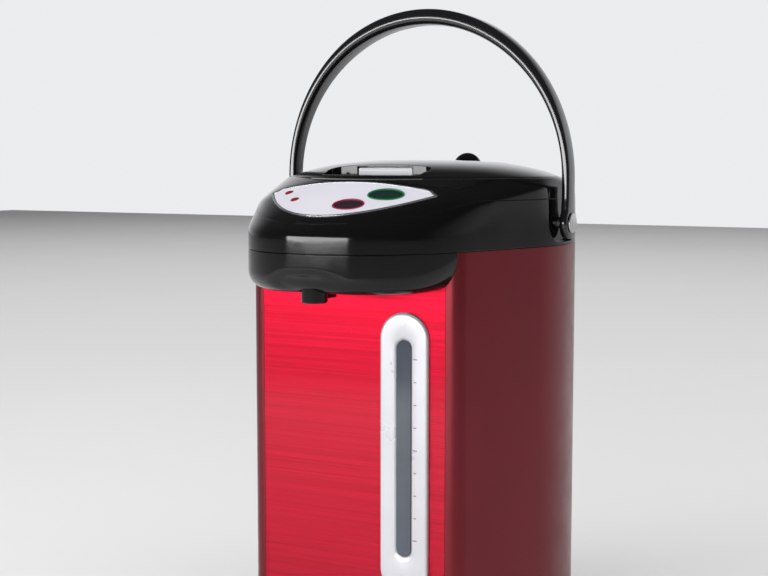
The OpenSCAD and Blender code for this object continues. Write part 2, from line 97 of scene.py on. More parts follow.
# Materials -------------------------------------------------------------------
class Nodes:
    """A short way to add and join shader nodes in one material."""

    def __init__(self, name):
        self.material = bpy.data.materials.new(name)
        self.material.use_nodes = True
        self.tree = self.material.node_tree
        self.shader = self.tree.nodes["Principled BSDF"]

    def add(self, kind, **sockets):
        node = self.tree.nodes.new("ShaderNode" + kind)
        for name, value in sockets.items():
            node.inputs[name.replace("_", " ")].default_value = value
        return node

    def join(self, out, into):
        self.tree.links.new(out, into)

    def noise(self, scale, stretch=(1, 1, 1), detail=3.0, rough=0.5):
        where = self.add("TexCoord")
        mapping = self.add("Mapping", Scale=stretch)
        self.join(where.outputs["Object"], mapping.inputs["Vector"])
        noise = self.add("TexNoise", Scale=scale, Detail=detail, Roughness=rough)
        self.join(mapping.outputs["Vector"], noise.inputs["Vector"])
        return noise.outputs["Fac"]

    def spread(self, fac, low, high, lo_at=0.3, hi_at=0.7):
        rng = self.add("MapRange")
        rng.inputs["From Min"].default_value = lo_at
        rng.inputs["From Max"].default_value = hi_at
        rng.inputs["To Min"].default_value = low
        rng.inputs["To Max"].default_value = high
        self.join(fac, rng.inputs["Value"])
        return rng.outputs["Result"]

    def shades(self, fac, dark, light):
        ramp = self.add("ValToRGB")
        ramp.color_ramp.elements[0].color = (*dark, 1)
        ramp.color_ramp.elements[1].color = (*light, 1)
        ramp.color_ramp.elements[0].position = 0.3
        ramp.color_ramp.elements[1].position = 0.7
        self.join(fac, ramp.inputs["Fac"])
        return ramp.outputs["Color"]

    def bump(self, fac, height, strength=1.0, edge=0.0):
        bump = self.add("Bump", Strength=strength, Distance=height)
        self.join(fac, bump.inputs["Height"])
        if edge:
            round_edge = self.add("Bevel", Radius=edge)
            round_edge.samples = 4
            self.join(round_edge.outputs["Normal"], bump.inputs["Normal"])
        self.join(bump.outputs["Normal"], self.shader.inputs["Normal"])


def finish_of(name, color, vary=0.12, rough=0.3, rough_vary=0.06, metallic=0.0, grain=900,
              grain_height=0.00003, stretch=(1, 1, 1), cloud=14, edge=0.0, coat=0.0,
              aniso=0.0, transmission=0.0, spec=0.5):
    """A finish with cloudy colour and roughness variation and a fine surface grain."""
    m = Nodes(name)
    s = m.shader.inputs
    cloudy = m.noise(cloud, detail=4.0)
    dark = [c * (1 - vary) for c in color]
    light = [min(1, c * (1 + vary)) for c in color]
    m.join(m.shades(cloudy, dark, light), s["Base Color"])
    fine = m.noise(grain, stretch=stretch, detail=2.0)
    low, high = max(0.02, rough - rough_vary), rough + rough_vary
    m.join(m.spread(m.noise(cloud * 3, stretch=stretch), low, high), s["Roughness"])
    m.bump(fine, grain_height, edge=edge)
    s["Metallic"].default_value = metallic
    s["Coat Weight"].default_value = coat
    s["Coat Roughness"].default_value = 0.04
    s["Anisotropic"].default_value = aniso
    s["Transmission Weight"].default_value = transmission
    s["Specular IOR Level"].default_value = spec
    return m.material


FINISHES = {
    "gloss_black": dict(color=(0.003, 0.003, 0.0033), rough=0.1, rough_vary=0.03, grain=260,
                        grain_height=0.00001, edge=0.0006, spec=0.32),
    "bail_black": dict(color=(0.007, 0.007, 0.008), rough=0.14, rough_vary=0.04, grain=320,
                       grain_height=0.000005, coat=0.25),
    "maroon_skin": dict(color=(0.16, 0.013, 0.02), vary=0.06, rough=0.34, metallic=0.85,
                        coat=0.15),
    "silver_plastic": dict(color=(0.52, 0.52, 0.55), vary=0.04, rough=0.32, metallic=0.35,
                           grain=1500, edge=0.0004),
    "gauge_lens": dict(color=(0.035, 0.045, 0.065), vary=0.25, rough=0.1, grain=200,
                       grain_height=0.00001, coat=0.6),
    "clear_glass": dict(color=(0.9, 0.94, 0.95), vary=0.03, rough=0.05, rough_vary=0.02,
                        transmission=0.9),
    "panel_white": dict(color=(0.6, 0.59, 0.65), vary=0.03, rough=0.34, grain=1400,
                        grain_height=0.00001, edge=0.0002),
    "silver_trim": dict(color=(0.4, 0.4, 0.43), vary=0.05, rough=0.25, metallic=0.9),
    "surround_green": dict(color=(0.015, 0.16, 0.06), rough=0.4, spec=0.3),
    "indicator_red": dict(color=(0.22, 0.008, 0.02), rough=0.25),
    "button_green": dict(color=(0.006, 0.022, 0.018), rough=0.4, edge=0.0003, spec=0.2),
    "button_red": dict(color=(0.022, 0.01, 0.018), rough=0.4, edge=0.0003, spec=0.2),
    "lever_gray": dict(color=(0.55, 0.56, 0.58), vary=0.05, rough=0.4, edge=0.0004),
    "black_plastic_matte": dict(color=(0.014, 0.014, 0.015), rough=0.5, rough_vary=0.08,
                                grain=1600, grain_height=0.0001, edge=0.0005),
    "rubber_foot": dict(color=(0.03, 0.03, 0.032), rough=0.75, grain=1200, grain_height=0.0001),
    "steel_small": dict(color=(0.5, 0.5, 0.5), rough=0.3, metallic=1.0),
    "pot_steel": dict(color=(0.55, 0.55, 0.54), vary=0.06, rough=0.25, metallic=1.0,
                      stretch=(1, 1, 40), grain=500, aniso=0.5),
    "silicone": dict(color=(0.75, 0.75, 0.72), rough=0.55),
    "gray_plastic": dict(color=(0.16, 0.16, 0.17), rough=0.45),
    "board_green": dict(color=(0.02, 0.14, 0.06), vary=0.3, rough=0.4, cloud=90),
    "felt": dict(color=(0.5, 0.47, 0.4), vary=0.3, rough=0.95, grain=2600, grain_height=0.0004),
    "mica": dict(color=(0.42, 0.36, 0.26), vary=0.3, rough=0.4, cloud=60),
    "heater_aluminium": dict(color=(0.6, 0.6, 0.6), rough=0.45, metallic=1.0),
    "ceramic_white": dict(color=(0.8, 0.78, 0.74), rough=0.3),
    "motor_can": dict(color=(0.35, 0.35, 0.36), rough=0.35, metallic=0.9, stretch=(1, 1, 20)),
    "ivory_plastic": dict(color=(0.72, 0.68, 0.56), rough=0.45),
}


def brushed_red():
    """Horizontally brushed, red-lacquered sheet: long streaks across X and fine scratches."""
    m = Nodes("brushed_red")
    s = m.shader.inputs
    streaks = m.noise(5, stretch=(0.6, 1, 130), detail=6.0, rough=0.7)
    hair = m.noise(12, stretch=(1.5, 1, 420), detail=4.0, rough=0.8)
    m.join(m.shades(streaks, (0.34, 0.001, 0.012), (0.52, 0.003, 0.028)), s["Base Color"])
    m.join(m.spread(hair, 0.24, 0.42), s["Roughness"])
    m.bump(hair, 0.00006, strength=0.35, edge=0.0004)
    s["Metallic"].default_value = 0.95
    s["Anisotropic"].default_value = 0.6
    s["Coat Weight"].default_value = 0.35
    s["Coat Roughness"].default_value = 0.08
    return m.material


materials = {name: finish_of(name, **values) for name, values in FINISHES.items()}
materials["brushed_red"] = brushed_red()
red_ring = finish_of("surround_red", (0.24, 0.012, 0.05), rough=0.4, spec=0.3)


# Mesh helpers ------------------------------------------------------------------
def mesh_object(name, verts, faces, material):
    mesh = bpy.data.meshes.new(name)
    mesh.from_pydata([tuple(Vector(v) * MM) for v in verts], [], faces)
    bm = bmesh.new()
    bm.from_mesh(mesh)
    bmesh.ops.remove_doubles(bm, verts=bm.verts, dist=0.000002)
    bmesh.ops.dissolve_degenerate(bm, edges=bm.edges, dist=0.000002)
    bmesh.ops.recalc_face_normals(bm, faces=bm.faces)
    if bm.calc_volume(signed=True) < 0:
        bmesh.ops.reverse_faces(bm, faces=bm.faces)
    bm.to_mesh(mesh)
    bm.free()
    mesh.materials.append(material)
    obj = bpy.data.objects.new(name, mesh)
    bpy.context.scene.collection.objects.link(obj)
    return obj


def skin_rings(name, rings, material, wrap=False):
    """A closed solid through rings of equal length; wrap joins the last ring to the first."""
    n = len(rings[0])
    verts = [p for ring in rings for p in ring]
    faces = []
    for i in range(len(rings) if wrap else len(rings) - 1):
        a = i * n
        b = ((i + 1) % len(rings)) * n
        faces += [(a + j, a + (j + 1) % n, b + (j + 1) % n, b + j) for j in range(n)]
    if not wrap:
        faces += [tuple(range(n)), tuple(range(len(verts) - n, len(verts)))]
    return mesh_object(name, verts, faces, material)


def carve(obj, *cutters):
    """Cuts the closed cutters out of obj and removes them."""
    for cutter in cutters:
        cut = obj.modifiers.new("carve", "BOOLEAN")
        cut.operation = "DIFFERENCE"
        cut.solver = "EXACT"
        cut.object = cutter
        graph = bpy.context.evaluated_depsgraph_get()
        mesh = bpy.data.meshes.new_from_object(obj.evaluated_get(graph))
        obj.modifiers.remove(cut)
        obj.data = mesh
        bpy.data.objects.remove(cutter)
    return obj


def place(obj, body, slot, *replaced, smooth=32):
    obj.data.shade_smooth()
    obj.data.set_sharp_from_angle(angle=math.radians(smooth))
    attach(obj, body)
    if replaced:
        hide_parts(*replaced)
    return obj


def lathe(name, profile, material, turns=128, at=(0, 0), lift=None):
    """A closed profile of (radius, height) turned about the vertical line through at."""
    rings = []
    for i in range(turns):
        a = 2 * math.pi * i / turns
        ring = []
        for r, z in profile:
            x, y = r * math.cos(a), r * math.sin(a)
            ring.append((at[0] + x, at[1] + y, z + (lift(x, y, z) if lift else 0)))
        rings.append(ring)
    return skin_rings(name, rings, material, wrap=True)


def prism_z(outline, z0, z1):
    """An upright cutter."""
    rings = [[(x, y, z) for x, y in outline] for z in (z0, z1)]
    return skin_rings("cut", rings, materials["gloss_black"])


def prism_x(outline, x0, x1):
    """A cutter that runs across."""
    rings = [[(x, y, z) for y, z in outline] for x in (x0, x1)]
    return skin_rings("cut", rings, materials["gloss_black"])


def tube_loop(name, points, radius, material, sides=10):
    """A round rim along a closed loop of points."""
    n = len(points)
    up = Vector((0, 0, 1))
    rings = []
    for i, p in enumerate(points):
        along = (Vector(points[(i + 1) % n]) - Vector(points[i - 1])).normalized()
        out = along.cross(up).normalized()
        rise = out.cross(along)
        turn = [2 * math.pi * k / sides for k in range(sides)]
        rings.append([Vector(p) + radius * (math.cos(t) * out + math.sin(t) * rise) for t in turn])
    return skin_rings(name, rings, material, wrap=True)


def arc(centre, radius, a0, a1, steps):
    """Points and outward normals along an arc, angles in radians."""
    found = []
    for i in range(steps + 1):
        a = a0 + (a1 - a0) * i / steps
        n = Vector((math.cos(a), math.sin(a)))
        found.append((Vector(centre) + radius * n, n))
    return found


def arc_points(centre, radius, a0, a1, steps):
    return [tuple(p) for p, n in arc(centre, radius, a0, a1, steps)]


def circle_points(centre, radius, count):
    return arc_points(centre, radius, 0, 2 * math.pi, count)[:-1]


def rounded_box(half_w, half_h, r, steps=5):
    """A rounded rectangle about the origin, as (across, up) pairs."""
    points = []
    for sx, sy, a0 in ((1, 1, 0), (-1, 1, 90), (-1, -1, 180), (1, -1, 270)):
        centre = (sx * (half_w - r), sy * (half_h - r))
        start = math.radians(a0)
        points += arc_points(centre, r, start, start + math.pi / 2, steps)
    return points


# Outlines ------------------------------------------------------------------------
def body_outline():
    """Points and normals from the front's right corner round the back to the left corner."""
    right = arc(side_corner, CORNER_R, -math.pi / 2, -SIDE_A, 12)
    rear = arc((0, 0), BODY_R, -SIDE_A, math.pi + SIDE_A, 120)
    left_corner = (-side_corner.x, side_corner.y)
    left = arc(left_corner, CORNER_R, math.pi + SIDE_A, 1.5 * math.pi, 12)
    return right + rear + left


def nose_outline(back_y):
    """Points and normals along the nose, from its right side at back_y round to the left."""
    a_back = math.asin((back_y - nose_c1.y) / NOSE_SIDE_R)
    side = arc(nose_c1, NOSE_SIDE_R, a_back, -NOSE_TURN, 20)
    front = arc(nose_c2, NOSE_FRONT_R, -NOSE_TURN, -math.pi / 2, 30)[1:]
    half = side + front
    other = [(Vector((-p.x, p.y)), Vector((-n.x, n.y))) for p, n in reversed(half[:-1])]
    return half + other


def at_panel(u, v, w):
    """A point on the control panel: u across, v up the slope, w off its crowned surface."""
    w = w - (PANEL_CROWN_R - math.sqrt(PANEL_CROWN_R ** 2 - u * u))
    c, s = math.cos(PANEL_TILT), math.sin(PANEL_TILT)
    return PANEL_MID + Vector((u, v * c - w * s, v * s + w * c))


# Head --------------------------------------------------------------------------
COLUMNS = 288
PROFILE_STEP = 1.0
SMOOTH_PASSES = 16
ROUND_PASSES = 8
REAR_HALF_A = math.radians(28)


def head_surface():
    """The head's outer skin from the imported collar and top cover, as one smooth profile of
    (radius, height) for each of COLUMNS directions. The rear is round, so the columns at the
    hinge notch take the profile beside it."""
    bm = bmesh.new()
    for name in ("collar", "top_cover"):
        bm.from_mesh(nodes[name].data)
    bmesh.ops.convex_hull(bm, input=bm.verts)
    tree = BVHTree.FromBMesh(bm)
    bm.free()
    levels = 70
    outside = 0.3
    z0, z1 = SEAM_Z + JOINT_GAP, RIM_Z - JOINT_GAP
    grid = []
    for i in range(COLUMNS):
        a = 2 * math.pi * i / COLUMNS
        if abs(a - math.pi / 2) < REAR_HALF_A:
            a = math.pi / 2 - REAR_HALF_A
        out = Vector((math.cos(a), math.sin(a), 0))
        column = []
        for k in range(levels + 1):
            z = z0 + (z1 - z0) * k / levels
            start = out * outside + Vector((0, 0, z * MM))
            hit = tree.ray_cast(start, -out)[0]
            column.append(math.hypot(hit.x, hit.y) / MM)
        grid.append(column)
    for _ in range(SMOOTH_PASSES):
        grid = [[(grid[i - 1][k] + 2 * grid[i][k] + grid[(i + 1) % COLUMNS][k]) / 4
                 for k in range(levels + 1)] for i in range(COLUMNS)]
    profiles = []
    for column in grid:
        line = [Vector((r, z0 + (z1 - z0) * k / levels)) for k, r in enumerate(column)]
        profiles.append(soften(resample(line, PROFILE_STEP), ROUND_PASSES))
    return profiles


def resample(line, step=None, count=None):
    """The same polyline with evenly spaced points."""
    lengths = [0.0]
    for a, b in zip(line, line[1:]):
        lengths.append(lengths[-1] + (b - a).length)
    count = count or max(4, round(lengths[-1] / step))
    out = []
    k = 0
    for i in range(count + 1):
        s = lengths[-1] * i / count
        while k < len(line) - 2 and lengths[k + 1] < s:
            k += 1
        span = lengths[k + 1] - lengths[k]
        t = (s - lengths[k]) / span if span else 0
        out.append(line[k].lerp(line[k + 1], min(1, t)))
    return out


def soften(line, passes):
    for _ in range(passes):
        line = [line[0]] + [(line[i - 1] + 2 * line[i] + line[i + 1]) / 4
                            for i in range(1, len(line) - 1)] + [line[-1]]
    return line


def parting_height(y):
    (y0, z0), (y1, z1), (y2, z2) = PARTING_FALLS
    if y >= y0:
        return z0
    if y >= y1:
        return z0 + (z1 - z0) * (y0 - y) / (y0 - y1)
    return z1 + (z2 - z1) * (y1 - y) / (y1 - y2)


def split_profile(profile, a):
    """The profile below and above the parting line, for the column at angle a."""
    for k in range(len(profile) - 1):
        over = profile[k + 1].y - parting_height(profile[k + 1].x * math.sin(a))
        if over > 0:
            under = parting_height(profile[k].x * math.sin(a)) - profile[k].y
            t = under / (under + over)
            cut = profile[k].lerp(profile[k + 1], t)
            return profile[:k + 1] + [cut], [cut] + profile[k + 1:]
    return profile, profile[-2:]


def inward(line, depth):
    """The line moved sideways towards the pot's axis by depth."""
    out = []
    for i, p in enumerate(line):
        run = (line[min(i + 1, len(line) - 1)] - line[max(i - 1, 0)]).normalized()
        out.append(p - depth * Vector((run.y, -run.x)))
    return out


LIP = 0.35
LOWER_ROWS = 16
UPPER_ROWS = 26
NUDGE = 0.01
POCKET_X = 103.5
POCKET_HALF_W = 24
POCKET_BACK = 2.5
WELL_BACK = 99.5


def shell_column(a, outer, depth):
    """One closed section of a shell: the outer line with softened ends, then the inner line."""
    first, last = outer[0], outer[-1]
    start = first + Vector((-LIP, 0))
    start_b = first + (outer[1] - first).normalized() * LIP
    end_b = last + (outer[-2] - last).normalized() * LIP
    end = last + Vector((-LIP, 0))
    inner = list(reversed(inward(outer, depth)))
    y_half = POCKET_HALF_W + POCKET_BACK
    points = [start, start_b] + outer[1:-1] + [end_b, end]
    for k, p in enumerate(inner):
        x, y = p.x * math.cos(a), p.x * math.sin(a)
        limit = POCKET_X - POCKET_BACK + NUDGE * k
        if abs(y) < y_half and abs(x) > limit:
            p = Vector((limit / abs(math.cos(a)), p.y))
        points.append(p)
    return [(p.x * math.cos(a), p.x * math.sin(a), p.y) for p in points]


def pocket_cutters():
    """The two rounded recesses that the bail's feet turn in."""
    r, low, high, beyond, half = 14, 292, 345, 130, POCKET_HALF_W
    outline = [(-half, high), (-half, low + r)]
    outline += arc_points((-half + r, low + r), r, math.pi, 1.5 * math.pi, 10)[1:]
    outline += arc_points((half - r, low + r), r, 1.5 * math.pi, 2 * math.pi, 10)
    outline += [(half, high)]
    return [prism_x(outline, s * POCKET_X, s * beyond) for s in (1, -1)]


BUTTONS = {
    "dispense": dict(u=31.5, v=12, turn=math.radians(14), a=11, b=7.4),
    "reboil": dict(u=14, v=-7, turn=math.radians(8), a=9.6, b=6.8),
}
LENSES = (dict(u=-44, v=16.5, turn=0, a=3, b=3), dict(u=-31, v=2, turn=0, a=3, b=3))
BUTTON_GAP = 1.2


def oval_points(oval, grow, w, count=48):
    """Points of an oval on the control panel, grown by grow and raised by w."""
    c, s = math.cos(oval["turn"]), math.sin(oval["turn"])
    ring = []
    for i in range(count):
        t = 2 * math.pi * i / count
        du, dv = (oval["a"] + grow) * math.cos(t), (oval["b"] + grow) * math.sin(t)
        ring.append(at_panel(oval["u"] + du * c - dv * s, oval["v"] + du * s + dv * c, w))
    return ring


def panel_cutters():
    """Cutters for the oval holes of the buttons and lamps, square to the control panel."""
    low, high = -9, 6
    cutters = []
    for oval, gap in [(b, BUTTON_GAP) for b in BUTTONS.values()] + [(o, 0) for o in LENSES]:
        rings = [oval_points(oval, gap, w, count=40) for w in (low, high)]
        cutters.append(skin_rings("cut", rings, materials["gloss_black"]))
    return cutters


def head():
    """The collar below the parting line and the cover above it, with the lid's well."""
    lower, upper = [], []
    well_z, round_r = 297, 1
    well = [(WELL_R + round_r, RIM_Z), (WELL_R + 0.3, RIM_Z - 0.2), (WELL_R, RIM_Z - 0.7),
            (WELL_R, well_z), (WELL_BACK, well_z)]
    for i, profile in enumerate(head_surface()):
        a = 2 * math.pi * i / COLUMNS
        below, above = split_profile(profile, a)
        lower.append(shell_column(a, resample(below, count=LOWER_ROWS), WALL))
        outer = resample(above, count=UPPER_ROWS)
        outer[-1] = Vector((RIM_R, RIM_Z))
        ring = shell_column(a, outer, WALL)
        split = len(outer) + 2
        c, s = math.cos(a), math.sin(a)
        inner = []
        for k, (x, y, z) in enumerate(ring[split:]):
            r = max(math.hypot(x, y), WELL_BACK + NUDGE * (k + 1))
            inner.append((r * c, r * s, z))
        upper.append(ring[:split - 2] + [(r * c, r * s, z) for r, z in well] + inner)
    collar = skin_rings("head_collar", lower, materials["gloss_black"], wrap=True)
    carve(collar, *pocket_cutters())
    place(collar, "pot", "gloss_black", "collar")
    cover = skin_rings("head_cover", upper, materials["gloss_black"], wrap=True)
    notch_a = math.acos(NOTCH_HALF_W / NOTCH_R)
    notch_y = 84
    notch = [(-NOTCH_HALF_W, notch_y), (NOTCH_HALF_W, notch_y)]
    notch += arc_points((0, 0), NOTCH_R, notch_a, math.pi - notch_a, 16)
    carve(cover, *pocket_cutters(), prism_z(notch, SEAM_Z, ABOVE_ALL_Z), *panel_cutters())
    place(cover, "pot", "gloss_black", "top_cover")


def smooth_step(low, high, value):
    t = min(1, max(0, (value - low) / (high - low)))
    return t * t * (3 - 2 * t)


def chin_floor(x, y):
    """Height of the chin's underside: rounded up to the sides, with a slight arch at the spout."""
    arch_rise, arch_half_w, arch_y, arch_run = 1.2, 26, -150, 16
    side = max(0, abs(x) - (FRONT_HALF_W - CHIN_SIDE_R))
    rise = CHIN_SIDE_R - math.sqrt(max(0, CHIN_SIDE_R ** 2 - side ** 2))
    forward = min(1, max(0, (arch_y - y) / arch_run))
    return CHIN_Z + rise + arch_rise * math.exp(-(x / arch_half_w) ** 4) * forward


def scoop(x, z):
    """Depth of the shallow oval hollow in the chin's face above the spout."""
    depth, half_w, half_h, mid_z, flat = 1.6, 31, 9.5, 272, 0.55
    return depth * (1 - smooth_step(flat, 1, math.hypot(x / half_w, (z - mid_z) / half_h)))


def chin():
    """The hanging chin: a rolled lower edge, rising corners and the hollow round the spout."""
    back_y = -FRONT_Y - 0.1
    top = SEAM_Z - 0.1
    wall_rows, roll_rows, floor_rows = 14, 14, 16
    rings = []
    for p, n in nose_outline(back_y):
        line = []
        roll_top = min(top - 0.2, chin_floor(p.x, p.y) + CHIN_EDGE_R)
        for k in range(wall_rows):
            line.append((p, top + (roll_top - top) * k / wall_rows))
        for k in range(roll_rows + 1):
            t = math.pi / 2 * k / roll_rows
            q = p - n * CHIN_EDGE_R * (1 - math.cos(t))
            line.append((q, min(roll_top, chin_floor(q.x, q.y) + CHIN_EDGE_R * (1 - math.sin(t)))))
        line = [(q - n * scoop(q.x, z), z) for q, z in line]
        edge = line[-1][0]
        for k in range(1, floor_rows):
            q = Vector((edge.x, max(edge.y, edge.y + (back_y - edge.y) * k / (floor_rows - 1))))
            line.append((q, chin_floor(q.x, q.y)))
        line.append((line[-1][0], top))
        rings.append([(q.x, min(q.y, back_y), z) for q, z in line])
    obj = skin_rings("head_chin", rings, materials["gloss_black"])
    hole_gap, hole_low, hole_top = 0.8, 255, 272
    hole = circle_points((0, SPOUT_Y), SPOUT_R + hole_gap, 40)
    carve(obj, prism_z(hole, hole_low, hole_top))
    place(obj, "pot", "gloss_black", "chin_cover")


# Control panel ---------------------------------------------------------------------
def leaf_span(u, d):
    """Lowest and highest v of the control panel at u, its outline grown by d."""
    half = PANEL_HALF_W + d
    t = min(1, abs(u) / half)
    tip_drop, tip_round, tip_from = 4, 3.8, 0.9
    low = PANEL_FRONT - d + (PANEL_BACK - tip_drop - PANEL_FRONT) * t * t
    high = PANEL_BACK + d - tip_round * smooth_step(tip_from, 1, t)
    return low, max(low, high)


def leaf_rows(d, steps):
    """Stations across the panel, closer together towards its tips: u, lowest v and highest v."""
    turns = [math.pi / 2 * (2 * i / steps - 1) for i in range(steps + 1)]
    across = [(PANEL_HALF_W + d) * math.sin(t) for t in turns]
    return [(u, *leaf_span(u, d)) for u in across]


def control_panel():
    """The thin plate with softened edges and the bright rim round it."""
    inset, under, shoulder, face, rows = 0.3, -1.6, 0.2, 0.45, 16
    rings = []
    for u, low, high in leaf_rows(-inset, 96):
        lip = min(inset, (high - low) / 3)
        ring = [at_panel(u, low, under), at_panel(u, low, shoulder), at_panel(u, low + lip, face)]
        ring += [at_panel(u, low + lip + (high - low - 2 * lip) * k / rows, face)
                 for k in range(1, rows + 1)]
        ring += [at_panel(u, high, shoulder), at_panel(u, high, under)]
        rings.append(ring)
    obj = skin_rings("panel_face", rings, materials["panel_white"])
    carve(obj, *panel_cutters())
    place(obj, "pot", "panel_white", "control_panel")
    rim_r = 0.75
    rows = leaf_rows(inset, 48)
    edge = [(u, low) for u, low, high in rows] + [(u, high) for u, low, high in rows[-2:0:-1]]
    rim = tube_loop("panel_rim", [at_panel(u, v, shoulder) for u, v in edge], rim_r,
                    materials["silver_trim"])
    place(rim, "pot", "silver_trim", "panel_trim", smooth=80)


def buttons():
    """Slightly dished caps with rolled edges, each in its coloured ring."""
    for name, b in BUTTONS.items():
        slot = {"dispense": "button_green", "reboil": "button_red"}[name]
        steps = [(-0.45, -3.6), (-0.45, 0.1), (-0.6, 0.42), (-0.95, 0.6), (-2, 0.56)]
        steps += [(-b["b"] * k, 0.5 - 0.35 * k) for k in (0.45, 0.65, 0.85, 0.985)]
        rings = [oval_points(b, grow, w) for grow, w in steps]
        cap = skin_rings(name + "_cap", rings, materials[slot])
        place(cap, name, slot, name + "_button", smooth=50)
    surrounds = {"dispense": materials["surround_green"], "reboil": red_ring}
    section = ((0.1, -1.2), (0.1, 0.7), (0.35, 0.95), (0.85, 0.95), (1.1, 0.7), (1.1, -1.2))
    for name, material in surrounds.items():
        sections = [oval_points(BUTTONS[name], grow, w) for grow, w in section]
        obj = skin_rings(name + "_ring", sections, material, wrap=True)
        place(obj, "pot", "surround_green", "button_surrounds", smooth=50)


# Lid ---------------------------------------------------------------------------------
def dome_z(r):
    """Height of the lid's dome: nearly flat in the middle, falling off towards its edge."""
    drop, power = 11.5, 3.2
    return LID_TOP_Z - drop * (r / LID_R) ** power


def relief(x, y, z):
    """A shallow sunken oval on the dome."""
    half_w, half_h, mid_y, depth, top_z, keep = 59, 21, 17, 0.45, 337, 4
    if z < top_z or math.hypot(x, y) > LID_R - keep:
        return 0
    d = math.hypot(x / half_w, (y - mid_y) / half_h)
    return -depth * min(1, max(0, (1.04 - d) / 0.08))


def finger_outline():
    """The recess in front of the lever: straight at the back, round to the front."""
    half, back, reach, r = 39, -62, 91.5, 9
    right = list(reversed(arc_points((half - r, back - r), r, math.pi / 2, -math.pi / 5, 8)))
    end_a = math.atan2(right[-1][1], right[-1][0])
    left = [(-x, y) for x, y in right]
    sides = sorted(left, key=lambda p: p[1]) + sorted(right, key=lambda p: -p[1])
    return sides + arc_points((0, 0), reach, end_a, -math.pi - end_a, 24)[1:-1]


def lid():
    """The domed lid with its recess, lever slot, vent seat, hinge gap and rear clearance."""
    edge, soft, inner_r, ceiling_z, rows = 0.8, 0.25, 93.5, 331, 56
    reach = LID_R - edge
    top = dome_z(reach)
    profile = [(0.02, LID_TOP_Z)]
    profile += [(reach * k / rows, dome_z(reach * k / rows)) for k in range(1, rows + 1)]
    profile += [(LID_R - soft, top - soft), (LID_R, top - edge), (LID_R, LID_LOW_Z + 0.3),
                (LID_R - 0.4, LID_LOW_Z), (inner_r, LID_LOW_Z), (inner_r, ceiling_z),
                (0.02, ceiling_z)]
    obj = lathe("lid_dome", profile, materials["gloss_black"], turns=192, lift=relief)
    slot_half, slot_front, slot_back, slot_top = LEVER_HALF_W + 0.6, -63, -54.5, 343.6
    slot = [(-slot_half, slot_front), (slot_half, slot_front), (slot_half, slot_back),
            (-slot_half, slot_back)]
    seat_r, seat_z = VENT_R + 0.6, 338
    knuckle_half, knuckle_front, knuckle_back, knuckle_top = 30, 86, 110, 334.6
    knuckle = [(-knuckle_half, knuckle_front), (knuckle_half, knuckle_front),
               (knuckle_half, knuckle_back), (-knuckle_half, knuckle_back)]
    below_z = 320
    side_a = math.radians(3)
    swing = arc_points((0, 0), LID_R + 5, side_a, math.pi - side_a, 60)
    swing += [(x, y - LID_BACK_GAP) for x, y in
              arc_points((0, 0), LID_R, math.pi - side_a, side_a, 90)]
    carve(obj, prism_z(finger_outline(), RECESS_FLOOR_Z, ABOVE_ALL_Z),
          prism_z(slot, RECESS_FLOOR_Z, slot_top),
          prism_z(circle_points((0, VENT_Y), seat_r, 48), seat_z, ABOVE_ALL_Z),
          prism_z(knuckle, below_z, knuckle_top), prism_z(swing, below_z, ABOVE_ALL_Z))
    place(obj, "lid", "gloss_black", "lid_shell")


def vent():
    """The domed steam cap with a rolled skirt."""
    z0, dome_low, soft = 338.1, 342.3, 0.4
    profile = [(0.02, z0), (VENT_R - soft, z0), (VENT_R, z0 + soft), (VENT_R, dome_low)]
    profile += [(VENT_R * math.cos(t), dome_low + VENT_R * math.sin(t))
                for t in (math.pi / 2 * k / 20 for k in range(1, 20))]
    profile += [(0.02, dome_low + VENT_R)]
    obj = lathe("vent_dome", profile, materials["gloss_black"], turns=64, at=(0, VENT_Y))
    place(obj, "lid", "gloss_black", "vent_cap")


def latch():
    """The lever's finger plate: slightly crowned, with softened edges."""
    crown = 0.35
    outline = rounded_box(LEVER_HALF_W, LEVER_HALF_H, 1.2)
    rings = []
    for back, shrink in ((0, 0.4), (0.3, 0.1), (0.6, 0), (1.6, 0), (2, 0.4)):
        kx, kz = 1 - shrink / LEVER_HALF_W, 1 - shrink / LEVER_HALF_H
        rings.append([(x * kx, LEVER_Y + back + crown * (x / LEVER_HALF_W) ** 2, LEVER_Z + z * kz)
                      for x, z in outline])
    obj = skin_rings("latch_plate", rings, materials["lever_gray"])
    place(obj, "latch", "lever_gray", "latch_lever")


